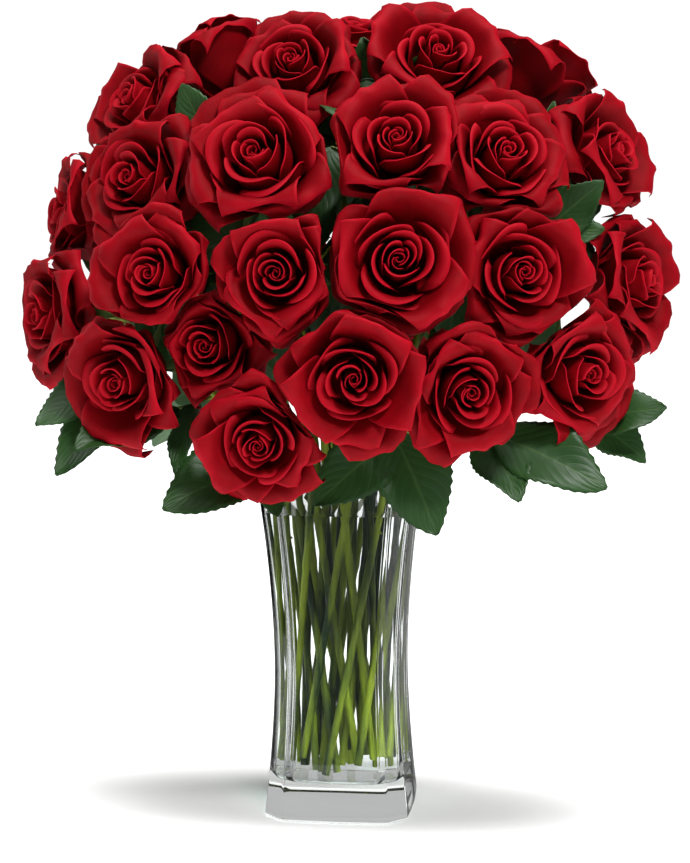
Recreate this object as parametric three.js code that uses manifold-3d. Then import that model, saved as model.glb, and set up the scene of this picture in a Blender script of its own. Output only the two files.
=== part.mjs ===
// Roses in a vase: a round bouquet of long-stemmed red roses standing in a square, waisted glass vase.
// Millimetres, +Z up. The origin is the centre of the vase's foot, the vase's flat front faces -Y.
import * as THREE from 'three';
import { mergeVertices } from 'three/addons/utils/BufferGeometryUtils.js';
import Module from 'manifold-3d';

// ---- driving dimensions -------------------------------------------------------------------------
const VASE_HEIGHT = 250;
const VASE_FLOOR = 26; // thickness of the solid glass floor
const VASE_WALL_TOP = 5;
const VASE_WALL_LOW = 7.5;
const FOOT_HALF = 52.5; // half the distance across the flats at the foot
const WAIST_HALF = 45.5;
const RIM_HALF = 57;
const WAIST_HEIGHT = 108;
const FACE_SHARE = 0.76; // flat part of each face; the rest is the cut corner
const FACE_BOW = 1.6; // each face swells this much at its middle

const GAP = 0.3; // left between touching pieces
const STEM_RADIUS = 2.9;
const STEM_SIDES = 6;
const STEM_STEPS = 12;
const NECK_HEIGHT = 92; // where the crossing stems are bundled closest
const STEM_STRAIGHT_TO = 252; // stems are straight below this height
const UPPER_POINTS = 9;

const BOUQUET_TURN = 6.5; // the bouquet faces this many degrees to the right of the vase's front

// Stems cross in four nested rings: closest radius, radius at the mouth, direction of the slant
const RINGS = [
  { closest: 33.4, mouth: 46.5, slant: 1 },
  { closest: 24.4, mouth: 35.5, slant: -1 },
  { closest: 15.6, mouth: 24.5, slant: 1 },
  { closest: 6.6, mouth: 13.0, slant: -1 },
];

// Heads: name, place of the widest part, heading (0 = front, + to the right), lift above level, radius,
// ring that the stem belongs to. "joined" heads are one piece with their stem.
const HEADS = [
  { name: '01', at: [-144, 20, 514], heading: -56, lift: 28, radius: 39, ring: 2 },
  { name: '02', at: [-34, 4, 540], heading: -12, lift: 34, radius: 41, ring: 3 },
  { name: '03', at: [66, 0, 544], heading: 12, lift: 38, radius: 45, ring: 3 },
  { name: '04', at: [-142, -36, 462], heading: -34, lift: 18, radius: 40, ring: 1 },
  { name: '05', at: [-57, -86, 478], heading: -12, lift: 28, radius: 47, ring: 2 },
  { name: '06', at: [36, -92, 488], heading: 2, lift: 30, radius: 41, ring: 2 },
  { name: '07', at: [110, -60, 478], heading: 16, lift: 28, radius: 43, ring: 2 },
  { name: '08', at: [188, 15, 478], heading: 56, lift: 22, radius: 41, ring: 1 },
  { name: '09', at: [-126, -96, 401], heading: -24, lift: 10, radius: 38, ring: 1 },
  { name: '10', at: [-42, -124, 404], heading: -10, lift: 8, radius: 40, ring: 1 },
  { name: '11', at: [37, -122, 412], heading: 4, lift: 12, radius: 47, ring: 1 },
  { name: '12', at: [120, -90, 402], heading: 16, lift: 8, radius: 43, ring: 1 },
  { name: '13', at: [207, 4, 388], heading: 56, lift: 8, radius: 44, ring: 0 },
  { name: '14', at: [-206, -8, 366], heading: -58, lift: 2, radius: 40, ring: 0 },
  { name: '15', at: [-90, -96, 353], heading: -18, lift: 2, radius: 37, ring: 1 },
  { name: '16', at: [-148, -84, 329], heading: -32, lift: -8, radius: 41, ring: 0 },
  { name: '17', at: [-54, -124, 292], heading: -12, lift: -12, radius: 38, ring: 0 },
  { name: '18', at: [8, -140, 337], heading: 0, lift: -2, radius: 44, ring: 0 },
  { name: '19', at: [84, -122, 326], heading: 10, lift: -6, radius: 40, ring: 0 },
  { name: '20', at: [164, -74, 332], heading: 32, lift: -4, radius: 42, ring: 0 },
  { name: '1', joined: true, at: [-92, 58, 538], heading: -135, lift: 46, radius: 41, ring: 2 },
  { name: '2', joined: true, at: [8, 82, 558], heading: 20, lift: 72, radius: 41, ring: 3 },
  { name: '3', joined: true, at: [142, 60, 530], heading: 128, lift: 44, radius: 42, ring: 2 },
  { name: '4', joined: true, at: [-194, 32, 436], heading: -74, lift: 12, radius: 40, ring: 1 },
  { name: '5', joined: true, at: [-88, 118, 458], heading: -150, lift: 24, radius: 45, ring: 2 },
  { name: '6', joined: true, at: [32, 142, 478], heading: 172, lift: 28, radius: 46, ring: 1 },
  { name: '7', joined: true, at: [134, 106, 432], heading: 134, lift: 18, radius: 44, ring: 1 },
  { name: '8', joined: true, at: [-156, 84, 364], heading: -122, lift: 2, radius: 43, ring: 0 },
  { name: '9', joined: true, at: [-54, 134, 372], heading: -162, lift: 2, radius: 44, ring: 0 },
  { name: '10', joined: true, at: [60, 130, 364], heading: 156, lift: 0, radius: 44, ring: 0 },
];

// Height of a head over its radius, and how far up it the widest part is
const HEAD_HEIGHT = 1.42;
const WIDEST_AT = 0.62;
// Outline of a head: radius and height as shares of its own radius and height
const HEAD_OUTLINE = [
  [0.1, 0],
  [0.21, 0.06],
  [0.19, 0.14],
  [0.56, 0.28],
  [0.86, 0.44],
  [1.0, 0.62],
  [0.96, 0.78],
  [0.7, 0.93],
  [0.25, 1.0],
];
const HEAD_SEGMENTS = 12;

const GLASS = { color: 0xe9f1f0, roughness: 0.05, metalness: 0 };
const PETAL = { color: 0x8c0612, roughness: 0.62, metalness: 0 };
const STEM = { color: 0x5c7a2a, roughness: 0.5, metalness: 0 };
const LEAF = { color: 0x23452a, roughness: 0.45, metalness: 0 };

const wasm = await Module();
wasm.setup();

// ---- helpers ------------------------------------------------------------------------------------
const rad = THREE.MathUtils.degToRad;

function turned(point) {
  return point.applyAxisAngle(new THREE.Vector3(0, 0, 1), rad(BOUQUET_TURN));
}

function mesh(name, geometry, look) {
  geometry.deleteAttribute('normal');
  geometry.deleteAttribute('uv');
  const welded = mergeVertices(geometry, 1e-3);
  welded.computeVertexNormals();
  const piece = new THREE.Mesh(welded, new THREE.MeshStandardMaterial(look));
  piece.name = name;
  return piece;
}

function toManifold(geometry) {
  const bare = geometry.clone();
  bare.deleteAttribute('normal');
  bare.deleteAttribute('uv');
  const welded = mergeVertices(bare, 1e-3);
  const vertProperties = new Float32Array(welded.attributes.position.array);
  const triVerts = new Uint32Array(welded.index.array);
  return new wasm.Manifold(new wasm.Mesh({ numProp: 3, vertProperties, triVerts }));
}

function fromManifold(solid) {
  const out = solid.getMesh();
  const geometry = new THREE.BufferGeometry();
  geometry.setAttribute('position', new THREE.BufferAttribute(out.vertProperties, 3));
  geometry.setIndex(new THREE.BufferAttribute(out.triVerts, 1));
  return geometry;
}

// The outer skin of a solid, without the small pockets that crossing blades close off
function outerSkin(solid) {
  const skins = solid.decompose();
  skins.sort((a, b) => b.volume() - a.volume());
  return skins[0];
}

// A closed skin over rings of points; the first and last ring are closed with a flat fan
function skin(rings) {
  const count = rings[0].length;
  const positions = [];
  rings.forEach((ring) => ring.forEach((p) => positions.push(p.x, p.y, p.z)));
  const index = [];
  for (let r = 0; r < rings.length - 1; r += 1) {
    for (let k = 0; k < count; k += 1) {
      const a = r * count + k;
      const b = r * count + ((k + 1) % count);
      index.push(a, b, b + count, a, b + count, a + count);
    }
  }
  const ends = [rings[0], rings[rings.length - 1]];
  ends.forEach((ring, end) => {
    const middle = positions.length / 3;
    const centre = new THREE.Vector3();
    ring.forEach((p) => centre.addScaledVector(p, 1 / count));
    positions.push(centre.x, centre.y, centre.z);
    const first = end === 0 ? 0 : (rings.length - 1) * count;
    for (let k = 0; k < count; k += 1) {
      const a = first + k;
      const b = first + ((k + 1) % count);
      if (end === 0) index.push(middle, b, a);
      else index.push(middle, a, b);
    }
  });
  const geometry = new THREE.BufferGeometry();
  geometry.setAttribute('position', new THREE.Float32BufferAttribute(positions, 3));
  geometry.setIndex(index);
  return geometry;
}

function tube(curve, radius, sides, steps) {
  const section = new THREE.Shape();
  for (let k = 0; k < sides; k += 1) {
    const angle = (2 * Math.PI * k) / sides;
    const x = radius * Math.cos(angle);
    const y = radius * Math.sin(angle);
    if (k === 0) section.moveTo(x, y);
    else section.lineTo(x, y);
  }
  section.closePath();
  return new THREE.ExtrudeGeometry(section, { steps, curveSegments: 1, extrudePath: curve });
}

// ---- vase ---------------------------------------------------------------------------------------
// Half the width across the flats at a height: foot, waist and rim joined by two smooth sweeps
function outerHalf(z) {
  if (z < WAIST_HEIGHT) {
    const t = 1 - z / WAIST_HEIGHT;
    return WAIST_HALF + (FOOT_HALF - WAIST_HALF) * Math.pow(t, 1.7);
  }
  const t = (z - WAIST_HEIGHT) / (VASE_HEIGHT - WAIST_HEIGHT);
  return WAIST_HALF + (RIM_HALF - WAIST_HALF) * Math.pow(t, 1.8);
}

function innerHalf(z) {
  const t = THREE.MathUtils.clamp((z - VASE_FLOOR) / (VASE_HEIGHT - VASE_FLOOR), 0, 1);
  return outerHalf(z) - THREE.MathUtils.lerp(VASE_WALL_LOW, VASE_WALL_TOP, t);
}

// One level of the vase: a square with cut corners and slightly swollen faces
function squareRing(half, z) {
  const ring = [];
  const flat = half * FACE_SHARE;
  const stations = [-1, -0.6, -0.2, 0.2, 0.6, 1];
  for (let side = 0; side < 4; side += 1) {
    const turn = (side * Math.PI) / 2;
    stations.forEach((s) => {
      const x = half + FACE_BOW * (1 - s * s);
      const p = new THREE.Vector3(x, s * flat, z);
      ring.push(p.applyAxisAngle(new THREE.Vector3(0, 0, 1), turn));
    });
  }
  return ring;
}

function makeVase() {
  const rings = [];
  rings.push(squareRing(outerHalf(0) - 2.5, 0));
  rings.push(squareRing(outerHalf(3), 2.5));
  [14, 32, 55, 80, 108, 135, 160, 185, 208, 230, 245].forEach((z) => {
    rings.push(squareRing(outerHalf(z), z));
  });
  rings.push(squareRing(outerHalf(VASE_HEIGHT) - 1.2, VASE_HEIGHT));
  rings.push(squareRing(innerHalf(VASE_HEIGHT) + 1.2, VASE_HEIGHT));
  [245, 230, 208, 185, 160, 135, 108, 80, 55, 40].forEach((z) => {
    rings.push(squareRing(innerHalf(z), z));
  });
  rings.push(squareRing(innerHalf(31) - 0.8, 31));
  rings.push(squareRing(innerHalf(27) - 4.5, VASE_FLOOR));
  return mesh('vase', skin(rings), GLASS);
}

// ---- heads --------------------------------------------------------------------------------------
function placeHeads() {
  return HEADS.map((head, number) => {
    const heading = rad(head.heading);
    const lift = rad(head.lift);
    const axis = new THREE.Vector3(
      Math.sin(heading) * Math.cos(lift),
      -Math.cos(heading) * Math.cos(lift),
      Math.sin(lift),
    );
    const centre = turned(new THREE.Vector3(...head.at));
    turned(axis);
    const height = head.radius * HEAD_HEIGHT;
    const base = centre.clone().addScaledVector(axis, -WIDEST_AT * height);
    return { ...head, number, axis, centre, height, base };
  });
}

// Neighbouring heads press on each other along the plane between them: a point past it moves back
function press(point, head, heads) {
  heads.forEach((other) => {
    if (other === head) return;
    const between = other.centre.clone().sub(head.centre);
    const distance = between.length();
    if (distance > head.radius + other.radius + 2) return;
    between.divideScalar(distance);
    const share = head.radius ** 2 - other.radius ** 2;
    const limit = (distance ** 2 + share) / (2 * distance) - GAP;
    const past = point.clone().sub(head.centre).dot(between) - limit;
    if (past > 0) point.addScaledVector(between, -past);
  });
  return point;
}

function headGeometry(head, heads) {
  const spin = new THREE.Quaternion().setFromUnitVectors(new THREE.Vector3(0, 0, 1), head.axis);
  const rings = HEAD_OUTLINE.map(([wide, high]) => {
    const ring = [];
    for (let k = 0; k < HEAD_SEGMENTS; k += 1) {
      const angle = (2 * Math.PI * k) / HEAD_SEGMENTS;
      const lobe = 1 + 0.05 * wide * Math.cos(5 * angle + head.number);
      const r = (head.radius - GAP) * wide * lobe;
      const p = new THREE.Vector3(r * Math.cos(angle), r * Math.sin(angle), high * head.height);
      ring.push(press(p.applyQuaternion(spin).add(head.base), head, heads));
    }
    return ring;
  });
  return skin(rings);
}

// ---- stems --------------------------------------------------------------------------------------
// Slots round each ring are even; the whole ring is turned so that its stems suit their heads
function giveSlots(heads) {
  RINGS.forEach((ring, level) => {
    const members = heads.filter((head) => head.ring === level);
    members.forEach((head) => {
      head.angle = Math.atan2(head.base.y, head.base.x);
    });
    members.sort((a, b) => a.angle - b.angle);
    const step = (2 * Math.PI) / members.length;
    let offset = 0;
    members.forEach((head, k) => {
      offset += (head.angle - k * step) / members.length;
    });
    members.forEach((head, k) => {
      head.slot = offset + k * step;
    });
  });
}

// A straight stem of a ring touches the circle of closest approach at the neck height
function lineInVase(head) {
  const ring = RINGS[head.ring];
  const rise = STEM_STRAIGHT_TO - NECK_HEIGHT;
  const reach = Math.sqrt(ring.mouth ** 2 - ring.closest ** 2);
  const swing = Math.atan2(reach, ring.closest) * ring.slant;
  const touch = head.slot - swing;
  const near = new THREE.Vector3(
    ring.closest * Math.cos(touch),
    ring.closest * Math.sin(touch),
    NECK_HEIGHT,
  );
  const slope = (ring.slant * reach) / rise;
  const along = new THREE.Vector3(-Math.sin(touch) * slope, Math.cos(touch) * slope, 1);
  const atHeight = (z) => near.clone().addScaledVector(along, z - NECK_HEIGHT);
  const foot = VASE_FLOOR + 3 + ((head.number * 7) % 5) * 3.4;
  return { foot: atHeight(foot), low: atHeight(110), top: atHeight(STEM_STRAIGHT_TO), along };
}

function firstPaths(heads) {
  heads.forEach((head) => {
    head.line = lineInVase(head);
    const end = head.base.clone().addScaledVector(head.axis, -2 * GAP);
    const reach = head.line.top.distanceTo(end);
    const up = head.line.along.clone().normalize();
    const curve = new THREE.CubicBezierCurve3(
      head.line.top,
      head.line.top.clone().addScaledVector(up, reach * 0.36),
      end.clone().addScaledVector(head.axis, -reach * 0.4),
      end,
    );
    head.path = curve.getPoints(UPPER_POINTS);
  });
}

// Pushes stems off each other and off the other heads, then evens them out
function settleStems(heads) {
  const clear = 2 * STEM_RADIUS + 1.4;
  for (let round = 0; round < 80; round += 1) {
    heads.forEach((head) => {
      for (let k = 2; k < UPPER_POINTS - 1; k += 1) {
        const p = head.path[k];
        heads.forEach((other) => {
          if (other === head) return;
          other.path.forEach((q) => {
            const away = p.clone().sub(q);
            const d = away.length();
            if (d < clear + 3 && d > 0) p.addScaledVector(away, ((clear + 3 - d) / d) * 0.5);
          });
          [[0, 0.95], [-0.45, 0.5]].forEach(([back, share]) => {
            const ball = other.centre.clone().addScaledVector(other.axis, back * other.height);
            const away = p.clone().sub(ball);
            const d = away.length();
            const wanted = share * other.radius + STEM_RADIUS + 4;
            if (d < wanted) p.addScaledVector(away, ((wanted - d) / d) * 0.6);
          });
        });
      }
    });
    heads.forEach((head) => {
      const old = head.path.map((p) => p.clone());
      for (let k = 2; k < UPPER_POINTS - 1; k += 1) {
        const middle = old[k - 1].clone().add(old[k + 1]).multiplyScalar(0.5);
        head.path[k].lerp(middle, 0.3);
      }
    });
  }
}

function stemCurve(head) {
  const points = [head.line.foot, head.line.low, ...head.path];
  return new THREE.CatmullRomCurve3(points, false, 'centripetal');
}

// ---- leaves -------------------------------------------------------------------------------------
// Compound leaves: the stem they grow on, how far up its free part, a point that the stalk passes over,
// where the end leaflet starts, its tip and its width over its length, the way the blades face, and the
// side leaflets: how far along the stalk, the tip, the width over the length
const LEAVES = [
  {
    name: 'leaf_left',
    stem: '16',
    share: 0.5,
    over: [-134, -38, 288],
    base: [-164, -30, 318],
    tip: [-214, -62, 296],
    wide: 0.6,
    face: [-0.3, -0.7, 0.65],
    side: [[0.12, [-116, -86, 264], 0.36], [0.3, [-184, -88, 282], 0.52], [0.8, [-200, -74, 262], 0.6]],
  },
  {
    name: 'leaf_front_left',
    stem: '17',
    share: 0.3,
    over: [-52, -58, 276],
    base: [-58, -68, 266],
    tip: [-122, -106, 242],
    wide: 0.7,
    face: [-0.2, -0.8, 0.5],
    side: [[0.7, [-104, -46, 246], 0.6], [0.8, [-44, -104, 236], 0.5]],
  },
  {
    name: 'leaf_front',
    stem: '19',
    share: 0.3,
    over: [42, -66, 290],
    base: [36, -76, 288],
    tip: [65, -108, 226],
    wide: 0.72,
    face: [0.1, -0.9, 0.35],
    side: [[0.9, [-18, -100, 244], 0.62]],
  },
  {
    name: 'leaf_front_right',
    stem: '20',
    share: 0.35,
    over: [92, -54, 284],
    base: [106, -64, 287],
    tip: [182, -96, 253],
    wide: 0.56,
    face: [0.15, -0.8, 0.55],
    side: [[0.75, [122, -102, 246], 0.66], [0.4, [146, -30, 256], 0.5]],
  },
  {
    name: 'leaf_right',
    stem: '13',
    share: 0.55,
    over: [160, -10, 296],
    base: [180, -22, 290],
    tip: [227, -46, 305],
    wide: 0.68,
    face: [0.25, -0.75, 0.6],
    side: [[0.75, [218, -28, 264], 0.6], [0.5, [192, 22, 268], 0.6]],
  },
  {
    name: 'leaf_upper_left',
    stem: '05',
    share: 0.78,
    over: [-94, -30, 470],
    base: [-90, -22, 484],
    tip: [-112, -34, 528],
    wide: 0.66,
    face: [-0.3, -0.85, 0.4],
    side: [[0.85, [-104, -10, 502], 0.5]],
  },
  {
    name: 'leaf_upper_right',
    stem: '08',
    share: 0.66,
    over: [138, -10, 420],
    base: [140, -20, 424],
    tip: [182, -40, 462],
    wide: 0.6,
    face: [0.3, -0.85, 0.3],
    side: [[0.72, [182, -34, 430], 0.6], [0.12, [152, -4, 514], 0.36]],
  },
  {
    name: 'leaf_back_left',
    stem: 'b8',
    share: 0.4,
    over: [-88, 76, 290],
    base: [-98, 88, 282],
    tip: [-148, 136, 252],
    wide: 0.66,
    face: [-0.4, 0.75, 0.55],
    side: [[0.85, [-82, 148, 250], 0.66], [0.8, [-160, 88, 270], 0.6], [0.6, [-42, 108, 250], 0.6]],
  },
  {
    name: 'leaf_back_right',
    stem: 'b10',
    share: 0.4,
    over: [70, 84, 290],
    base: [78, 96, 282],
    tip: [118, 148, 250],
    wide: 0.66,
    face: [0.4, 0.75, 0.55],
    side: [[0.85, [48, 146, 246], 0.66], [0.8, [142, 104, 262], 0.6], [0.6, [22, 108, 248], 0.6]],
  },
];
const LEAF_THICK = 0.9;
const LEAF_DROOP = 0.16; // how far a blade bends over towards its tip, over its length

// A thin pointed blade, folded a little along its midrib and bent over towards its tip
function blade(base, tip, face, wide) {
  const length = base.distanceTo(tip);
  const along = tip.clone().sub(base).addScaledVector(face, LEAF_DROOP * length).normalize();
  const side = along.clone().cross(face).normalize();
  const up = side.clone().cross(along).normalize();
  const stations = 6;
  const rings = [];
  for (let i = 0; i <= stations; i += 1) {
    const u = i / stations;
    const bulge = Math.pow(Math.sin(Math.PI * Math.min(u * 0.97 + 0.02, 1)), 0.8);
    const half = Math.max(0.9, bulge * (1.18 - 0.42 * u) * wide * 0.5 * length);
    const ring = [];
    const across = [-1, 0, 1];
    const place = (v, lift) => {
      const rise = -LEAF_DROOP * u * u * length + 0.2 * Math.abs(v) * half + lift;
      return base.clone()
        .addScaledVector(along, u * length)
        .addScaledVector(side, v * half)
        .addScaledVector(up, rise);
    };
    across.forEach((v) => ring.push(place(v, LEAF_THICK / 2)));
    across.slice().reverse().forEach((v) => ring.push(place(v, -LEAF_THICK / 2)));
    rings.push(ring);
  }
  return skin(rings);
}

function makeLeaf(leaf, heads) {
  const key = (head) => (head.joined ? `b${head.name}` : head.name);
  const head = heads.find((h) => key(h) === leaf.stem);
  const over = turned(new THREE.Vector3(...leaf.over));
  const tip = turned(new THREE.Vector3(...leaf.tip));
  const face = turned(new THREE.Vector3(...leaf.face)).normalize();
  const from = head.path[Math.round(leaf.share * UPPER_POINTS)];
  const start = from.clone().lerp(over, (STEM_RADIUS + 2.6) / from.distanceTo(over));
  const base = turned(new THREE.Vector3(...leaf.base));
  const stalk = new THREE.QuadraticBezierCurve3(start, over, base);
  const shapes = [tube(stalk, 1.2, 5, 5), blade(base, tip, face, leaf.wide)];
  leaf.side.forEach(([share, sideTip, wide]) => {
    const end = turned(new THREE.Vector3(...sideTip));
    shapes.push(blade(stalk.getPoint(share), end, face, wide));
  });
  const solid = shapes.map(toManifold).reduce((whole, part) => whole.add(part));
  const welded = toManifold(fromManifold(solid));
  return mesh(leaf.name, fromManifold(outerSkin(welded)), LEAF);
}

// ---- the whole ----------------------------------------------------------------------------------
function build() {
  const bouquet = new THREE.Group();
  bouquet.name = 'roses_in_vase';
  bouquet.add(makeVase());
  const heads = placeHeads();
  giveSlots(heads);
  firstPaths(heads);
  settleStems(heads);
  heads.forEach((head) => {
    const bloom = headGeometry(head, heads);
    const stem = tube(stemCurve(head), STEM_RADIUS, STEM_SIDES, STEM_STEPS);
    if (head.joined) {
      const dip = tube(
        new THREE.LineCurve3(
          head.base.clone().addScaledVector(head.axis, -2),
          head.base.clone().addScaledVector(head.axis, 3),
        ),
        STEM_RADIUS,
        STEM_SIDES,
        1,
      );
      const joined = toManifold(bloom).add(toManifold(stem)).add(toManifold(dip));
      bouquet.add(mesh(`rose_back_${head.name}`, fromManifold(joined), PETAL));
    } else {
      bouquet.add(mesh(`bloom_${head.name}`, bloom, PETAL));
      bouquet.add(mesh(`stem_${head.name}`, stem, STEM));
    }
  });
  LEAVES.forEach((leaf) => {
    bouquet.add(makeLeaf(leaf, heads));
  });
  return bouquet;
}

export default build();
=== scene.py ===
import math
import random

import bpy
import numpy as np
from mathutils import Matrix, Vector


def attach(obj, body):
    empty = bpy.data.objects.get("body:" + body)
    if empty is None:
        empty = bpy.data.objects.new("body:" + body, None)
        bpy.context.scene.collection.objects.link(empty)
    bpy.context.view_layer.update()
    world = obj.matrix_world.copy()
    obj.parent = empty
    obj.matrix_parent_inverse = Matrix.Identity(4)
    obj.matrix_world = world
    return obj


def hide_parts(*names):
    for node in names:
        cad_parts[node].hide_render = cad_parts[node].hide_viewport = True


# Roses in a vase: deep red long-stemmed roses with their own leaves in a square glass vase with a
# narrow waist. Metres, +Z up. The vase's flat front faces -Y and the bouquet's best side is turned a
# little from it. Places and sizes below are in millimetres, but a head is drawn at radius 1.

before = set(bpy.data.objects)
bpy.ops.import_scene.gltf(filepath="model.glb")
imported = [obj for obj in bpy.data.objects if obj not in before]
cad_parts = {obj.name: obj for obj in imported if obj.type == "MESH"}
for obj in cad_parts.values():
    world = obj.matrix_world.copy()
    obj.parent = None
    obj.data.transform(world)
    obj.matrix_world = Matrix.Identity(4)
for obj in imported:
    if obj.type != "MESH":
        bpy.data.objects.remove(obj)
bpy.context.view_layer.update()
MM = 0.001
GAP = 0.3  # clear space that each of two touching heads keeps from the face between them
AROUND = 6.28  # one turn in radians, for random starts

# ---- the bouquet's plan, as in the CAD part -----------------------------------------------------
BOUQUET_TURN = math.radians(6.5)
HEAD_HEIGHT = 1.42  # height of a head over its radius
WIDEST_AT = 0.62  # share of the height at which a head is widest
SPLIT, JOINED = "split", "joined"

# name, whether head and stem are two nodes or one, middle of the widest part, heading in degrees
# (0 front, + right), lift above level in degrees, radius
HEADS = [
    ("01", SPLIT, (-144, 20, 514), -56, 28, 39),
    ("02", SPLIT, (-34, 4, 540), -12, 34, 41),
    ("03", SPLIT, (66, 0, 544), 12, 38, 45),
    ("04", SPLIT, (-142, -36, 462), -34, 18, 40),
    ("05", SPLIT, (-57, -86, 478), -12, 28, 47),
    ("06", SPLIT, (36, -92, 488), 2, 30, 41),
    ("07", SPLIT, (110, -60, 478), 16, 28, 43),
    ("08", SPLIT, (188, 15, 478), 56, 22, 41),
    ("09", SPLIT, (-126, -96, 401), -24, 10, 38),
    ("10", SPLIT, (-42, -124, 404), -10, 8, 40),
    ("11", SPLIT, (37, -122, 412), 4, 12, 47),
    ("12", SPLIT, (120, -90, 402), 16, 8, 43),
    ("13", SPLIT, (207, 4, 388), 56, 8, 44),
    ("14", SPLIT, (-206, -8, 366), -58, 2, 40),
    ("15", SPLIT, (-90, -96, 353), -18, 2, 37),
    ("16", SPLIT, (-148, -84, 329), -32, -8, 41),
    ("17", SPLIT, (-54, -124, 292), -12, -12, 38),
    ("18", SPLIT, (8, -140, 337), 0, -2, 44),
    ("19", SPLIT, (84, -122, 326), 10, -6, 40),
    ("20", SPLIT, (164, -74, 332), 32, -4, 42),
    ("1", JOINED, (-92, 58, 538), -135, 46, 41),
    ("2", JOINED, (8, 82, 558), 20, 72, 41),
    ("3", JOINED, (142, 60, 530), 128, 44, 42),
    ("4", JOINED, (-194, 32, 436), -74, 12, 40),
    ("5", JOINED, (-88, 118, 458), -150, 24, 45),
    ("6", JOINED, (32, 142, 478), 172, 28, 46),
    ("7", JOINED, (134, 106, 432), 134, 18, 44),
    ("8", JOINED, (-156, 84, 364), -122, 2, 43),
    ("9", JOINED, (-54, 134, 372), -162, 2, 44),
    ("10", JOINED, (60, 130, 364), 156, 0, 44),
]


def turned(point):
    c, s = math.cos(BOUQUET_TURN), math.sin(BOUQUET_TURN)
    x, y, z = point
    return np.array([x * c - y * s, x * s + y * c, z])


def unit(v):
    v = np.asarray(v, float)
    return v / np.linalg.norm(v)


class Head:
    """One rose: where its head sits, which way it faces and which CAD nodes it stands for."""

    def __init__(self, number, name, kind, at, heading, lift, radius):
        a, l = math.radians(heading), math.radians(lift)
        facing = (math.sin(a) * math.cos(l), -math.cos(a) * math.cos(l), math.sin(l))
        self.number = number
        self.axis = turned(facing)
        self.centre = turned(at)
        self.radius = float(radius)
        self.height = radius * HEAD_HEIGHT
        self.base = self.centre - self.axis * WIDEST_AT * self.height
        if kind == JOINED:
            self.name = f"back_{name}"
            self.bloom_node = self.stem_node = f"rose_back_{name}"
        else:
            self.name = name
            self.bloom_node = f"bloom_{name}"
            self.stem_node = f"stem_{name}"


ROSES = [Head(n, *row) for n, row in enumerate(HEADS)]


# ---- small helpers ------------------------------------------------------------------------------
def deselect():
    if bpy.context.object and bpy.context.object.mode != "OBJECT":
        bpy.ops.object.mode_set(mode="OBJECT")
    bpy.ops.object.select_all(action="DESELECT")


def only(obj):
    deselect()
    obj.select_set(True)
    bpy.context.view_layer.objects.active = obj
    return obj


def points_of(obj):
    flat = np.empty(len(obj.data.vertices) * 3)
    obj.data.vertices.foreach_get("co", flat)
    return flat.reshape(-1, 3)


def set_points(obj, points):
    obj.data.vertices.foreach_set("co", np.ascontiguousarray(points, float).ravel())
    obj.data.update()


def modifier(obj, kind, **values):
    only(obj)
    m = obj.modifiers.new(kind.lower(), kind)
    for key, value in values.items():
        setattr(m, key, value)
    bpy.ops.object.modifier_apply(modifier=m.name)


def join(parts, name):
    only(parts[0])
    for p in parts[1:]:
        p.select_set(True)
    if len(parts) > 1:
        bpy.ops.object.join()
    parts[0].name = name
    parts[0].data.name = name
    return parts[0]


def mix(a, b, t):
    return a + (b - a) * t


def ease(x):
    x = np.clip(x, 0.0, 1.0)
    return x * x * (3 - 2 * x)


def clothe(obj, *looks):
    obj.data.materials.clear()
    for look in looks:
        obj.data.materials.append(look)


def smooth(obj):
    only(obj)
    bpy.ops.object.shade_smooth()


def finish_piece(obj, node):
    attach(obj, "root")
    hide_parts(node)


# ---- node groups and materials ------------------------------------------------------------------
def group(name, inputs, outputs):
    """A new shader group with named inputs (label, kind, value) and outputs (label, kind)."""
    tree = bpy.data.node_groups.new(name, "ShaderNodeTree")
    for label, kind, value in inputs:
        socket = tree.interface.new_socket(label, in_out="INPUT", socket_type=kind)
        socket.default_value = value
    for label, kind in outputs:
        tree.interface.new_socket(label, in_out="OUTPUT", socket_type=kind)
    return tree, tree.nodes.new("NodeGroupInput"), tree.nodes.new("NodeGroupOutput")


def settle(node, values):
    for label, value in values.items():
        node.inputs[label].default_value = value


def math_node(tree, op, a, b=None, clamp=False):
    """One sum on shader values; a and b are numbers or sockets."""
    n = tree.nodes.new("ShaderNodeMath")
    n.operation = op
    n.use_clamp = clamp
    for k, v in enumerate((a, b)):
        if v is None:
            continue
        if isinstance(v, (int, float)):
            n.inputs[k].default_value = v
        else:
            tree.links.new(v, n.inputs[k])
    return n.outputs[0]


def mix_colour(tree, share, a, b):
    """From colour a to colour b by share; each is a value or a socket."""
    n = tree.nodes.new("ShaderNodeMix")
    n.data_type = "RGBA"
    for socket, v in ((n.inputs[0], share), (n.inputs[6], a), (n.inputs[7], b)):
        if isinstance(v, (int, float, tuple)):
            socket.default_value = v
        else:
            tree.links.new(v, socket)
    return n.outputs[2]


def uv_parts(tree):
    """Where a point lies on its sheet: the pair, across the sheet and along it, both from 0 to 1."""
    uv = tree.nodes.new("ShaderNodeUVMap")
    uv.uv_map = "UVMap"
    split = tree.nodes.new("ShaderNodeSeparateXYZ")
    tree.links.new(uv.outputs[0], split.inputs[0])
    return uv.outputs[0], split.outputs[0], split.outputs[1]


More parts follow.
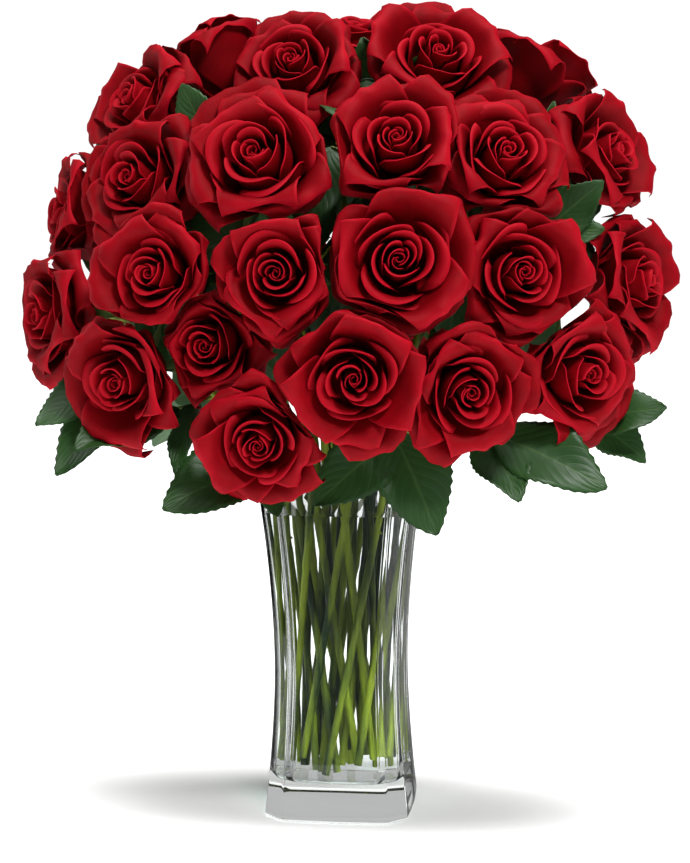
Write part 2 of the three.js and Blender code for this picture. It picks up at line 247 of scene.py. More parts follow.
def petal_marks_group():
    """Where a petal's rim lies, the fine fan of veins along it and soft blotches over it."""
    tree, given, out = group(
        "petal marks",
        [("Vein Count", "NodeSocketFloat", 26.0), ("Blotch Scale", "NodeSocketFloat", 60.0)],
        [("Rim", "NodeSocketFloat"), ("Veins", "NodeSocketFloat"), ("Blotch", "NodeSocketFloat")],
    )
    uv, across, along = uv_parts(tree)
    thin_top, thin_side, fade_down = 14.0, 12.0, 1.5
    side = math_node(tree, "ABSOLUTE", math_node(tree, "SUBTRACT", across, 0.5))
    side = math_node(tree, "MULTIPLY", side, 2.0)
    top = math_node(tree, "POWER", along, thin_top)
    edge = math_node(tree, "POWER", side, thin_side)
    edge = math_node(tree, "MULTIPLY", edge, math_node(tree, "POWER", along, fade_down))
    rim_highlight = math_node(tree, "MAXIMUM", top, edge)
    tree.links.new(rim_highlight, out.inputs["Rim"])
    noise = tree.nodes.new("ShaderNodeTexNoise")
    noise.inputs["Scale"].default_value = 3.0
    tree.links.new(uv, noise.inputs["Vector"])
    wander, one_turn = 0.05, 6.283
    spread = math_node(tree, "ADD", across, math_node(tree, "MULTIPLY", noise.outputs[0], wander))
    wave = math_node(tree, "MULTIPLY", spread, given.outputs["Vein Count"])
    wave = math_node(tree, "SINE", math_node(tree, "MULTIPLY", wave, one_turn))
    veins = math_node(tree, "MULTIPLY", math_node(tree, "ADD", wave, 1.0), 0.5)
    tree.links.new(veins, out.inputs["Veins"])
    place = tree.nodes.new("ShaderNodeTexCoord")
    blotch = tree.nodes.new("ShaderNodeTexNoise")
    tree.links.new(place.outputs["Object"], blotch.inputs["Vector"])
    tree.links.new(given.outputs["Blotch Scale"], blotch.inputs["Scale"])
    blotch.inputs["Detail"].default_value = 3.0
    tree.links.new(blotch.outputs[0], out.inputs["Blotch"])
    return tree


def leaf_marks_group():
    """The midrib, the side veins that run off it and the soft change of tone over a blade."""
    tree, given, out = group(
        "leaf marks",
        [("Side Veins", "NodeSocketFloat", 9.0)],
        [("Veins", "NodeSocketFloat"), ("Height", "NodeSocketFloat"), ("Tone", "NodeSocketFloat")],
    )
    across, along = uv_parts(tree)[1:]
    rib_thin, vein_thin, vein_weight, vein_slant, swelling = 26.0, 11.0, 0.55, 0.75, 1.6
    side = math_node(tree, "ABSOLUTE", math_node(tree, "SUBTRACT", across, 0.5))
    rib = math_node(tree, "SUBTRACT", 1.0, math_node(tree, "MULTIPLY", side, rib_thin), clamp=True)
    slant = math_node(tree, "SUBTRACT", along, math_node(tree, "MULTIPLY", side, vein_slant))
    beat = math_node(tree, "MULTIPLY", slant, given.outputs["Side Veins"])
    beat = math_node(tree, "FRACT", beat)
    beat = math_node(tree, "ABSOLUTE", math_node(tree, "SUBTRACT", beat, 0.5))
    thin = math_node(tree, "SUBTRACT", 1.0, math_node(tree, "MULTIPLY", beat, vein_thin), clamp=True)
    thin = math_node(tree, "MULTIPLY", thin, vein_weight)
    veins = math_node(tree, "MAXIMUM", rib, thin)
    tree.links.new(veins, out.inputs["Veins"])
    swell = math_node(tree, "MULTIPLY", beat, swelling)
    tree.links.new(math_node(tree, "SUBTRACT", swell, veins), out.inputs["Height"])
    place = tree.nodes.new("ShaderNodeTexCoord")
    noise = tree.nodes.new("ShaderNodeTexNoise")
    noise.inputs["Scale"].default_value = 22.0
    tree.links.new(place.outputs["Object"], noise.inputs["Vector"])
    tree.links.new(noise.outputs[0], out.inputs["Tone"])
    return tree


PETAL_MARKS = petal_marks_group()
LEAF_MARKS = leaf_marks_group()


def material(name):
    m = bpy.data.materials.new(name)
    m.use_nodes = True
    return m, m.node_tree, m.node_tree.nodes["Principled BSDF"]


def pick_shader(tree, share, first, second, end):
    """Joins two shaders at a material's or the world's output."""
    pick = tree.nodes.new("ShaderNodeMixShader")
    tree.links.new(share, pick.inputs[0])
    tree.links.new(first.outputs[0], pick.inputs[1])
    tree.links.new(second.outputs[0], pick.inputs[2])
    tree.links.new(pick.outputs[0], tree.nodes[end].inputs["Surface"])


def add_bump(tree, shader, height, strength, distance):
    bump = tree.nodes.new("ShaderNodeBump")
    settle(bump, {"Strength": strength, "Distance": distance})
    tree.links.new(height, bump.inputs["Height"])
    tree.links.new(bump.outputs[0], shader.inputs["Normal"])


def petal_material(name, deep, bright, rim_highlight):
    m, tree, shader = material(name)
    marks = tree.nodes.new("ShaderNodeGroup")
    marks.node_tree = PETAL_MARKS
    body = mix_colour(tree, marks.outputs["Blotch"], deep, bright)
    vein_share, rim_highlight_share = 0.18, 0.8
    streak = math_node(tree, "MULTIPLY", marks.outputs["Veins"], vein_share)
    body = mix_colour(tree, streak, body, deep)
    # Painted highlight: the rim colour brightens each petal's tip and side edges.
    edge = math_node(tree, "MULTIPLY", marks.outputs["Rim"], rim_highlight_share)
    tree.links.new(mix_colour(tree, edge, body, rim_highlight), shader.inputs["Base Color"])
    settle(shader, {
        "Roughness": 0.62, "Specular IOR Level": 0.07, "Subsurface Weight": 0.12,
        "Subsurface Radius": (0.004, 0.0006, 0.0006),
    })
    add_bump(tree, shader, marks.outputs["Veins"], strength=0.05, distance=0.0002)
    return m


def leaf_material(name, dark, light, vein, rough, bump):
    m, tree, shader = material(name)
    marks = tree.nodes.new("ShaderNodeGroup")
    marks.node_tree = LEAF_MARKS
    vein_share = 0.32
    body = mix_colour(tree, marks.outputs["Tone"], dark, light)
    lines = math_node(tree, "MULTIPLY", marks.outputs["Veins"], vein_share)
    tree.links.new(mix_colour(tree, lines, body, vein), shader.inputs["Base Color"])
    settle(shader, {"Roughness": rough, "Specular IOR Level": 0.45})
    add_bump(tree, shader, marks.outputs["Height"], bump, distance=0.0006)
    return m


def long_noise(tree, place, scale):
    """Soft noise that is drawn out along a stem."""
    stretch = tree.nodes.new("ShaderNodeMapping")
    stretch.inputs["Scale"].default_value = scale
    tree.links.new(place, stretch.inputs["Vector"])
    noise = tree.nodes.new("ShaderNodeTexNoise")
    noise.inputs["Scale"].default_value = 1.0
    tree.links.new(stretch.outputs[0], noise.inputs["Vector"])
    return noise


def stem_material():
    m, tree, shader = material("rose stem green")
    dark, light = (0.008, 0.032, 0.005, 1), (0.30, 0.40, 0.02, 1)
    fibre_share, patch_share, contrast, darken = 0.4, 1.1, 3.4, 2.2
    place = tree.nodes.new("ShaderNodeTexCoord").outputs["Object"]
    fibre = long_noise(tree, place, (260.0, 260.0, 14.0))
    fibre.inputs["Detail"].default_value = 3.0
    patch = long_noise(tree, place, (52.0, 52.0, 7.0))
    tone = math_node(tree, "ADD", math_node(tree, "MULTIPLY", fibre.outputs[0], fibre_share),
                     math_node(tree, "MULTIPLY", patch.outputs[0], patch_share))
    tone = math_node(tree, "SUBTRACT", math_node(tree, "MULTIPLY", tone, contrast), darken, clamp=True)
    tree.links.new(mix_colour(tree, tone, dark, light), shader.inputs["Base Color"])
    shader.inputs["Roughness"].default_value = 0.42
    add_bump(tree, shader, fibre.outputs[0], strength=0.15, distance=0.0004)
    return m


def clear_material(name, ior, tint):
    """Clear glass or water; lamps shine through it on what stands in it."""
    m, tree, shader = material(name)
    settle(shader, {"Base Color": tint, "Roughness": 0.0, "IOR": ior, "Transmission Weight": 1.0})
    path = tree.nodes.new("ShaderNodeLightPath")
    through = tree.nodes.new("ShaderNodeBsdfTransparent")
    through.inputs["Color"].default_value = (0.91, 0.94, 0.93, 1)
    pick_shader(tree, path.outputs["Is Shadow Ray"], shader, through, "Material Output")
    return m


# The rim colour is a painted highlight along the petals' rims and tips.
PETAL = petal_material(
    "crimson petal",
    deep=(0.09, 0.0002, 0.0012, 1), bright=(0.31, 0.0006, 0.005, 1), rim_highlight=(0.50, 0.004, 0.016, 1),
)
LEAF_TOP = leaf_material(
    "leaf upper side",
    dark=(0.008, 0.038, 0.008, 1), light=(0.032, 0.105, 0.018, 1), vein=(0.09, 0.18, 0.045, 1),
    rough=0.46, bump=0.3,
)
LEAF_UNDER = leaf_material(
    "leaf under side",
    dark=(0.07, 0.14, 0.07, 1), light=(0.12, 0.21, 0.10, 1), vein=(0.20, 0.30, 0.14, 1),
    rough=0.6, bump=0.6,
)
CALYX = leaf_material(
    "calyx green",
    dark=(0.05, 0.13, 0.025, 1), light=(0.13, 0.24, 0.05, 1), vein=(0.18, 0.28, 0.08, 1),
    rough=0.5, bump=0.3,
)
STEM = stem_material()
GLASS = clear_material("clear glass", ior=1.5, tint=(0.985, 1.0, 0.995, 1))
WATER = clear_material("water", ior=1.333, tint=(0.99, 1.0, 0.995, 1))


# ---- rose heads ---------------------------------------------------------------------------------
# A head is built at radius 1, standing on its base with its axis up, and copied to every place.
NEXT_PETAL = 137.5  # degrees from one petal to the next
HEART_PETALS = 6
CUP_PETALS = 12
OUTER_PETALS = 9
SEPALS = 5
PETAL_THICK = 0.014
SEPAL_THICK = 0.02
OPENED = (1.0, 0.9, 1.08, 0.95, 1.03)  # how far each pattern of head is open
SPIN = 1.9  # radians that each head is turned about its axis from the one before


def petal_sheet(columns, rows):
    """A flat sheet; across runs from -1 to 1 and along from 0 at the foot to 1 at the tip."""
    bpy.ops.mesh.primitive_grid_add(
        x_subdivisions=columns, y_subdivisions=rows, size=2.0, calc_uvs=True
    )
    obj = bpy.context.object
    flat = points_of(obj)
    return obj, flat[:, 0].copy(), (flat[:, 1] + 1) / 2


def shape_petal(across, along, p):
    """Bends a flat sheet into a petal: up from the base, round the axis and rolled back at the rim.

    The slope along the middle goes from a0 to a1 at the belly, to a2 above it and to a3 at the rim.
    """
    steps, point_width, slope_settles, roll_ends = 40, 0.16, 0.92, 1.02
    pointed = 1 - p["notch"] * np.abs(across) ** 2.6 + p["point"] * np.exp(-(across / point_width) ** 2)
    v = along[:, None] * np.linspace(0, 1, steps)[None, :]
    side = np.abs(across)[:, None]
    first = ease(v / p["belly"])
    second = ease((v - p["belly"]) / (slope_settles - p["belly"]))
    start = p["roll_from"] - p["side_roll"] * side ** 2
    third = ease((v - start) / (roll_ends - start)) ** 1.25
    angle = p["a0"] + (p["a1"] - p["a0"]) * first + (p["a2"] - p["a1"]) * second
    angle = angle + (p["a3"] - p["a2"]) * third * (1 + 0.35 * side)
    angle = np.radians(angle)
    length = p["length"] * pointed * (1 + p["skew"] * across)
    ds = (length * along / (steps - 1))[:, None]
    r = p["r0"] + np.sum(np.cos(angle[:, :-1]) * ds, axis=1)
    z = p["z0"] + np.sum(np.sin(angle[:, :-1]) * ds, axis=1)
    end = angle[:, -1]
    foot_width, widest_from, tip_taper, most_swing = 0.26, 0.62, 0.10, 1.35
    half = p["width"] * (foot_width + (1 - foot_width) * ease(along / widest_from) ** 0.9)
    half = half * (1 - tip_taper * ease((along - 0.75) / 0.25))
    curve = p["cup"] * (0.75 + 0.5 * along)
    swing = np.clip(across * half / curve, -most_swing, most_swing)
    back = p["edge_roll"] * ease((np.abs(across) - 0.55) / 0.45) * ease((along - 0.35) / 0.5)
    depth = curve * (1 - np.cos(swing)) - back
    x = r - np.sin(end) * depth + p["wind"] * across * ease(along / 0.5)
    y = curve * np.sin(swing)
    z = z + np.cos(end) * depth
    ripple = p["ripple"] * np.sin(across * p["waves"] + p["phase"]) * ease((along - 0.45) / 0.55)
    x = x + ripple * np.sin(end)
    z = z - ripple * np.cos(end) * 0.6
    c, s = math.cos(p["turn"]), math.sin(p["turn"])
    return np.stack([x * c - y * s, x * s + y * c, z], axis=1)


def shape_cup(across, along, p):
    """Bends a flat sheet into an upright petal that winds round the axis, with a turned lip."""
    corner_from, corner_cut, point_width = 0.66, 0.34, 0.22
    side = np.abs(across)
    corner = ease((side - corner_from) / (1 - corner_from))
    v = along * (1 - p["notch"] * side ** 2.2 - corner_cut * corner
                 + p["point"] * np.exp(-(across / point_width) ** 2))
    r = p["r0"] + (p["belly"] - p["r0"]) * np.sin(np.pi / 2 * np.clip(v / 0.5, 0, 1)) ** 1.15
    r = r + (p["mouth"] - p["belly"]) * ease((v - 0.5) / 0.5)
    z = p["z0"] + (p["top"] - p["z0"]) * v ** 0.92
    over = np.clip((along - p["lip_from"]) / (1 - p["lip_from"]), 0, 1) * p["lip_turn"]
    reach = p["lip"] * (1 + 0.5 * np.sin(across * 2.4 + p["phase"])) * (1 - 0.8 * corner)
    r = r + reach * (1 - np.cos(over))
    z = z + reach * (np.sin(over) - over * 0.35)
    out = r + p["wind"] * across * ease(v / 0.35)
    out = out + p["ripple"] * np.sin(across * p["waves"] + p["phase"]) * ease((v - 0.5) / 0.5)
    out = out + p["edge"] * ease((side - 0.75) / 0.25) * ease((v - 0.4) / 0.3)
    angle = p["span"] * across * (0.4 + 0.6 * ease(v / 0.5)) + p["turn"]
    x = out * np.cos(angle) + p["lean"] * z * math.cos(p["turn"])
    y = out * np.sin(angle) + p["lean"] * z * math.sin(p["turn"])
    return np.stack([x, y, z], axis=1)


def heart_petals(rng, opened):
    """The closed middle: a few small petals folded over each other."""
    out = []
    turn = rng.uniform(0, AROUND)
    for k in range(HEART_PETALS):
        t = k / (HEART_PETALS - 1)
        turn += math.radians(NEXT_PETAL + rng.uniform(-22, 22))
        wide = mix(0.035, 0.145, t) * opened
        out.append(dict(
            shape="cup", turn=turn, r0=0.03, z0=0.30, belly=wide * 1.15, mouth=wide,
            top=mix(1.22, 1.31, t) + rng.uniform(-0.02, 0.02), notch=mix(0.10, 0.06, t), point=0.0,
            lip_from=0.93, lip=0.010, lip_turn=1.3, wind=mix(0.03, 0.05, t),
            span=mix(1.9, 1.7, t), ripple=0.010, waves=rng.uniform(2, 4),
            phase=rng.uniform(0, 6), edge=0.0, lean=rng.uniform(-0.015, 0.015), grid=(17, 11),
        ))
    return out


def cup_petals(rng, opened):
    """Nested cups round the middle, opening step by step, each with a thin turned lip."""
    out = []
    turn = rng.uniform(0, AROUND)
    for k in range(CUP_PETALS):
        t = k / (CUP_PETALS - 1)
        turn += math.radians(NEXT_PETAL + rng.uniform(-16, 16))
        mouth = mix(0.17, 0.70, t ** 1.15) * opened
        out.append(dict(
            shape="cup", turn=turn, r0=0.06, z0=mix(0.28, 0.2, t),
            belly=max(mouth * mix(1.12, 0.98, t), 0.2), mouth=mouth,
            top=mix(1.37, 1.08, t ** 1.3) + rng.uniform(-0.03, 0.03),
            notch=mix(0.10, 0.22, t), point=mix(0.0, 0.03, t),
            lip_from=mix(0.90, 0.80, t), lip=mix(0.022, 0.085, t) * rng.uniform(0.8, 1.3),
            lip_turn=mix(1.5, 2.3, t), wind=mix(0.045, 0.07, t), span=mix(1.55, 1.0, t),
            ripple=mix(0.008, 0.022, t), waves=rng.uniform(2, 5), phase=rng.uniform(0, 6),
            edge=mix(0.0, 0.035, t), lean=rng.uniform(-0.01, 0.035), grid=(21, 14),
        ))
    return out


def outer_petals(rng, opened):
    """The open petals: broad, laid back and rolled over at the rim, with a slight point."""
    out = []
    turn = rng.uniform(0, AROUND)
    for k in range(OUTER_PETALS):
        t = k / (OUTER_PETALS - 1)
        turn += math.radians(NEXT_PETAL + rng.uniform(-14, 14))
        far = rng.uniform(1.05, 1.34)
        out.append(dict(
            shape="open", turn=turn, r0=0.08, z0=0.19, belly=0.42,
            a0=mix(26, 8, t), a1=mix(70, 46, t), a2=mix(66, 24, t) * opened,
            a3=mix(-40, -85, t) + rng.uniform(-15, 15),
            roll_from=mix(0.80, 0.72, t) + rng.uniform(-0.04, 0.05),
            side_roll=rng.uniform(0.02, 0.12), length=mix(1.22, 1.25, t) * far,
            width=mix(0.66, 0.78, t), wind=rng.uniform(-0.02, 0.06),
            notch=mix(0.10, 0.15, t), point=rng.uniform(0.01, 0.05), skew=rng.uniform(-0.05, 0.05),
            cup=mix(0.74, 1.0, t), edge_roll=mix(0.03, 0.09, t),
            ripple=0.022, waves=rng.uniform(3, 6), phase=rng.uniform(0, 6), grid=(19, 17),
        ))
    return out


def make_whorl(rows, name):
    """Bends and joins the petals of one layer of a head and gives them their thickness."""
    petals = []
    for p in rows:
        columns, lines = p["grid"]
        obj, across, along = petal_sheet(columns, lines)
        bend = shape_cup if p["shape"] == "cup" else shape_petal
        set_points(obj, bend(across, along, p))
        petals.append(obj)
    whorl = join(petals, name)
    clothe(whorl, PETAL)
    modifier(whorl, "SOLIDIFY", thickness=PETAL_THICK, offset=0.0, use_even_offset=False)
    smooth(whorl)
    return whorl


def make_calyx(name, rng):
    """The green cup under a head, with five narrow sepals that bend back from it."""
    cup_radius, cup_height, cup_width = 0.2, 0.62, 0.82
    bpy.ops.mesh.primitive_uv_sphere_add(segments=14, ring_count=9, radius=cup_radius)
    cup = bpy.context.object
    p = points_of(cup)
    p[:, 2] = (p[:, 2] + cup_radius) * cup_height
    p[:, :2] *= cup_width
    set_points(cup, p)
    parts = [cup]
    for k in range(SEPALS):
        obj, across, along = petal_sheet(5, 12)
        long = rng.uniform(0.62, 0.8)
        half = 0.105 * np.sin(np.pi * np.clip(along * 0.86 + 0.12, 0, 1)) ** 0.8 * (1 - 0.6 * along)
        lean = np.radians(rng.uniform(-75, -20) * ease(along * 1.2) + 30)
        r = 0.1 + long * along * np.cos(lean * 0.6)
        z = 0.17 + long * 0.55 * np.sin(lean) * along
        y = across * half
        z = z - 0.25 * np.abs(across) * half
        turn = k * math.tau / SEPALS + rng.uniform(-0.2, 0.2)
        c, s = math.cos(turn), math.sin(turn)
        set_points(obj, np.stack([r * c - y * s, r * s + y * c, z], axis=1))
        modifier(obj, "SOLIDIFY", thickness=SEPAL_THICK, offset=0.0)
        parts.append(obj)
    calyx = join(parts, name)
    clothe(calyx, CALYX)
    smooth(calyx)
    return calyx


def place_points(points, rose, spin):
    """From the drawn head to its place: turned about its axis, tipped to its facing and sized."""
    up = unit(rose.axis)
    side = unit(np.cross(up, (0.0, 0.0, 1.0) if abs(up[2]) < 0.9 else (0.0, 1.0, 0.0)))
    third = np.cross(up, side)
    c, s = math.cos(spin), math.sin(spin)
    x = points[:, 0] * c - points[:, 1] * s
    y = points[:, 0] * s + points[:, 1] * c
    return rose.base + (np.stack([x, y, points[:, 2]], axis=1) @ np.stack([side, third, up])) * rose.radius


PRESS_REACH = 20.0  # heads further apart than this leave each other alone
PRESS_DEPTH = 12.0  # how deep the petals give way before the face between two heads
PRESS_WAVES = ((3.6, 0.085), (2.0, 0.19))  # height of the waves in that face, and radians per mm


def press(points, rose):
    """Neighbouring heads press on each other: petals give way near the wavy face between two heads."""
    for other in ROSES:
        if other is rose:
            continue
        between = other.centre - rose.centre
        distance = np.linalg.norm(between)
        if distance > rose.radius + other.radius + PRESS_REACH:
            continue
        between = between / distance
        limit = (distance ** 2 + rose.radius ** 2 - other.radius ** 2) / (2 * distance) - GAP
        pair = random.Random(1000 * min(rose.number, other.number) + max(rose.number, other.number))
        sign = 1 if rose.number < other.number else -1
        wave = np.zeros(len(points))
        for size, bumps in PRESS_WAVES:
            way = unit([pair.uniform(-1, 1) for _ in range(3)]) * bumps
            wave += size * np.sin(points @ way + pair.uniform(0, AROUND))
        reach = (points - rose.centre) @ between
        past = np.maximum(reach - (limit + sign * wave - PRESS_DEPTH), 0)
        kept = PRESS_DEPTH * (1 - np.exp(-past / PRESS_DEPTH))
        points = points - np.outer(past - kept, between)
    return points


def plant(pattern, name, rose, spin, pressed=True):
    """Copies a drawn layer to a rose's place."""
    obj = pattern.copy()
    obj.data = pattern.data.copy()
    obj.name = name
    obj.data.name = name
    bpy.context.scene.collection.objects.link(obj)
    p = place_points(points_of(pattern), rose, spin)
    if pressed:
        p = press(p, rose)
    set_points(obj, p * MM)
    return obj


def make_roses():
    patterns = []
    for k, opened in enumerate(OPENED):
        rng = random.Random(40 + k)
        patterns.append((
            make_whorl(heart_petals(rng, opened), f"heart_pattern_{k}"),
            make_whorl(cup_petals(rng, opened), f"cup_pattern_{k}"),
            make_whorl(outer_petals(rng, opened), f"outer_pattern_{k}"),
            make_calyx(f"calyx_pattern_{k}", rng),
        ))
    for rose in ROSES:
        heart, cups, outer, calyx = patterns[rose.number * 3 % len(patterns)]
        spin = rose.number * SPIN
        for pattern, layer in ((heart, "heart"), (cups, "cup"), (outer, "outer")):
            piece = plant(pattern, f"{layer}_petals_{rose.name}", rose, spin)
            finish_piece(piece, rose.bloom_node)
        piece = plant(calyx, f"calyx_{rose.name}", rose, spin, pressed=False)
        finish_piece(piece, rose.bloom_node)
    for row in patterns:
        for pattern in row:
            bpy.data.objects.remove(pattern)


# ---- stems --------------------------------------------------------------------------------------
RING_REACH = 6.4  # corners of one ring of a CAD stem lie nearer than this to each other
NEXT_RING = 75.0  # and the next ring is nearer than this
STEM_RADII = (2.85, 2.6, 2.1)  # at the cut end, at 0.7 of the run and under the head
THORNS = 5


def node_points(node):
    flat = points_of(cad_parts[node]) / MM
    return np.unique(np.round(flat, 2), axis=0)


def stem_line(rose):
    """The middle line of a CAD stem: its rings of corners, taken in order from foot to head."""
    most_rings, near_head, too_near_head = 40, 16, 6
    left = node_points(rose.stem_node)
    here = left[np.argmin(left[:, 2])]
    line = []
    for _ in range(most_rings):
        near = np.linalg.norm(left - here, axis=1) < RING_REACH
        line.append(left[near].mean(axis=0))
        left = left[~near]
        if np.linalg.norm(line[-1] - rose.base) < near_head or not len(left):
            break
        d = np.linalg.norm(left - line[-1], axis=1)
        if d.min() > NEXT_RING:
            break
        here = left[np.argmin(d)]
    line = [p for p in line if np.linalg.norm(p - rose.base) > too_near_head]
    line.append(rose.base + rose.axis)
    return np.array(line)


def smooth_line(line, per=5):
    """A smooth curve through the points of a line."""
    p = np.vstack([2 * line[0] - line[1], line, 2 * line[-1] - line[-2]])
    out = []
    for k in range(1, len(p) - 2):
        for t in np.linspace(0, 1, per, endpoint=False):
            a, b, c, d = p[k - 1:k + 3]
            out.append(0.5 * (2 * b + (c - a) * t + (2 * a - 5 * b + 4 * c - d) * t * t
                              + (3 * b - a - 3 * c + d) * t ** 3))
    out.append(line[-1])
    return np.array(out)


def rod(name, line, radii, sides, look):
    """A round rod along a line, with its own radius at each point."""
    data = bpy.data.curves.new(name, "CURVE")
    data.dimensions = "3D"
    data.bevel_depth = 1.0
    data.bevel_resolution = max(0, sides // 4 - 1)
    data.use_fill_caps = True
    spline = data.splines.new("POLY")
    spline.points.add(len(line) - 1)
    for point, co, r in zip(spline.points, line, radii):
        point.co = (*(np.asarray(co) * MM), 1.0)
        point.radius = r * MM
    obj = bpy.data.objects.new(name, data)
    bpy.context.scene.collection.objects.link(obj)
    only(obj)
    bpy.ops.object.convert(target="MESH")
    obj = bpy.context.object
    clothe(obj, look)
    smooth(obj)
    return obj


def thorn(at, out, along, size):
    """A short hooked thorn standing on the bark."""
    hook, thin, broad = 0.28, 0.8, 1.35
    bpy.ops.mesh.primitive_cone_add(vertices=7, radius1=0.42, radius2=0.03, depth=1.0)
    obj = bpy.context.object
    p = points_of(obj)
    p[:, 2] += 0.5
    p[:, 1] -= hook * p[:, 2] ** 2
    rows = np.stack([np.cross(along, out) * thin, along * broad, out])
    set_points(obj, (at + (p @ rows) * size) * MM)
    clothe(obj, STEM)
    return obj


STEM_LINES = {}


def make_stems():
    for rose in ROSES:
        rng = random.Random(500 + rose.number)
        line = smooth_line(stem_line(rose))
        STEM_LINES[rose.name] = line
        run = np.concatenate([[0], np.cumsum(np.linalg.norm(np.diff(line, axis=0), axis=1))])
        radii = np.interp(run, [0, run[-1] * 0.7, run[-1]], STEM_RADII)
        knots = np.arange(rng.uniform(30, 80), run[-1] - 40, rng.uniform(62, 88))
        knot_rise, knot_length = 0.55, 4.0
        for knot in knots:
            radii = radii + knot_rise * np.exp(-((run - knot) / knot_length) ** 2)
        radii[-2:] = [2.6, 3.4]
        parts = [rod(f"stem_{rose.name}", line, radii, 12, STEM)]
        for _ in range(THORNS):
            k = rng.randrange(len(line) // 2, len(line) - 3)
            along = unit(line[k + 1] - line[k - 1])
            out = unit(np.cross(along, unit([rng.uniform(-1, 1), rng.uniform(-1, 1), 0.2])))
            parts.append(thorn(line[k] + out * radii[k] * 0.8, out, along, size=3.2))
        stem = join(parts, f"stem_{rose.name}")
        finish_piece(stem, rose.stem_node)


# ---- leaves -------------------------------------------------------------------------------------
# name, the rose whose stem it grows on, point that the stalk passes over, start and tip of the end
# leaflet, its width over its length, facing, and side leaflets: share of the stalk, tip, width over length
LEAVES = [
    ("leaf_left", "16",
     (-134, -38, 288), (-164, -30, 318), (-214, -62, 296), 0.6, (-0.3, -0.7, 0.65),
     ((0.12, (-116, -86, 264), 0.36), (0.3, (-184, -88, 282), 0.56), (0.8, (-200, -74, 262), 0.6))),
    ("leaf_front_left", "17",
     (-52, -58, 276), (-58, -68, 266), (-122, -106, 242), 0.7, (-0.2, -0.8, 0.5),
     ((0.7, (-104, -46, 246), 0.6), (0.8, (-44, -104, 236), 0.5))),
    ("leaf_front", "19",
     (42, -66, 290), (36, -76, 288), (65, -108, 226), 0.72, (0.1, -0.9, 0.35),
     ((0.9, (-18, -100, 244), 0.62),)),
    ("leaf_front_right", "20",
     (92, -54, 284), (106, -64, 287), (182, -96, 253), 0.56, (0.15, -0.8, 0.55),
     ((0.75, (122, -102, 246), 0.66), (0.4, (146, -30, 256), 0.5))),
    ("leaf_right", "13",
     (160, -10, 296), (180, -22, 290), (227, -46, 305), 0.68, (0.25, -0.75, 0.6),
     ((0.75, (218, -28, 264), 0.6), (0.5, (192, 22, 268), 0.6))),
    ("leaf_upper_left", "05",
     (-94, -30, 470), (-90, -22, 484), (-112, -34, 528), 0.66, (-0.3, -0.85, 0.4),
     ((0.85, (-104, -10, 502), 0.5),)),
    ("leaf_upper_right", "08",
     (138, -10, 420), (140, -20, 424), (182, -40, 462), 0.6, (0.3, -0.85, 0.3),
     ((0.72, (182, -34, 430), 0.6), (0.12, (152, -4, 514), 0.36))),
    ("leaf_back_left", "back_8",
     (-88, 76, 290), (-98, 88, 282), (-148, 136, 252), 0.66, (-0.4, 0.75, 0.55),
     ((0.85, (-82, 148, 250), 0.66), (0.8, (-160, 88, 270), 0.6), (0.6, (-42, 108, 250), 0.6))),
    ("leaf_back_right", "back_10",
     (70, 84, 290), (78, 96, 282), (118, 148, 250), 0.66, (0.4, 0.75, 0.55),
     ((0.85, (48, 146, 246), 0.66), (0.8, (142, 104, 262), 0.6), (0.6, (22, 108, 248), 0.6))),
]
LEAF_DROOP = 0.16  # how far a blade bends over towards its tip, over its length
LEAF_THICK = 0.5
STALK_POINTS = 14


def leaf_blade(base, tip, face, wide, rng, columns=11, rows=29):
    """A pointed, toothed blade, folded along its midrib and bent over towards its tip."""
    length = np.linalg.norm(tip - base)
    along_dir = unit(tip - base + face * LEAF_DROOP * length)
    side_dir = unit(np.cross(along_dir, face))
    up_dir = np.cross(side_dir, along_dir)
    obj, across, u = petal_sheet(columns, rows)
    tooth_depth, tooth_slant, wave_height, pucker_height, fold = 0.055, 0.012, 0.035, 0.007, 0.22
    side = np.abs(across)
    bulge = np.sin(np.pi * np.clip(u * 0.97 + 0.02, 0, 1)) ** 0.8
    half = np.maximum(0.5, bulge * (1.18 - 0.42 * u) * wide * 0.5 * length)
    row = np.round(u * rows)
    tooth = np.where((row % 2) == 0, 0.0, 1.0) * (u < 0.97)
    edge = side > 0.97
    half = half * (1 + np.where(edge, tooth_depth, 0.0) * (tooth - 0.4))
    slide = np.where(edge, tooth_slant * tooth, 0.0)
    bend = rng.uniform(0.12, 0.22)
    wave = wave_height * np.sin(u * rng.uniform(8, 12) + rng.uniform(0, 6)) * side ** 1.5
    pucker = pucker_height * np.abs(np.sin((u - 0.37 * side) * 9 * np.pi)) * (1 - side)
    rise = (-bend * u * u + wave + pucker) * length + fold * side * half
    twist = rng.uniform(-0.35, 0.35) * u
    s = across * half
    points = (
        np.asarray(base)
        + np.outer((u + slide) * length, along_dir)
        + np.outer(s * np.cos(twist), side_dir)
        + np.outer(rise + s * np.sin(twist), up_dir)
    )
    set_points(obj, points * MM)
    clothe(obj, LEAF_TOP, LEAF_UNDER)
    normal = np.zeros(3)
    for polygon in obj.data.polygons:
        normal += np.array(polygon.normal) * polygon.area
    if normal @ up_dir < 0:
        only(obj)
        bpy.ops.object.mode_set(mode="EDIT")
        bpy.ops.mesh.select_all(action="SELECT")
        bpy.ops.mesh.flip_normals()
        bpy.ops.object.mode_set(mode="OBJECT")
    modifier(obj, "SOLIDIFY", thickness=LEAF_THICK * MM, offset=-1.0, material_offset=1,
             material_offset_rim=0)
    smooth(obj)
    return obj


def bezier(a, b, c, n):
    """A bent line from a to c, drawn towards b, as n points."""
    t = np.linspace(0, 1, n)[:, None]
    return a * (1 - t) ** 2 + 2 * b * t * (1 - t) + c * t * t


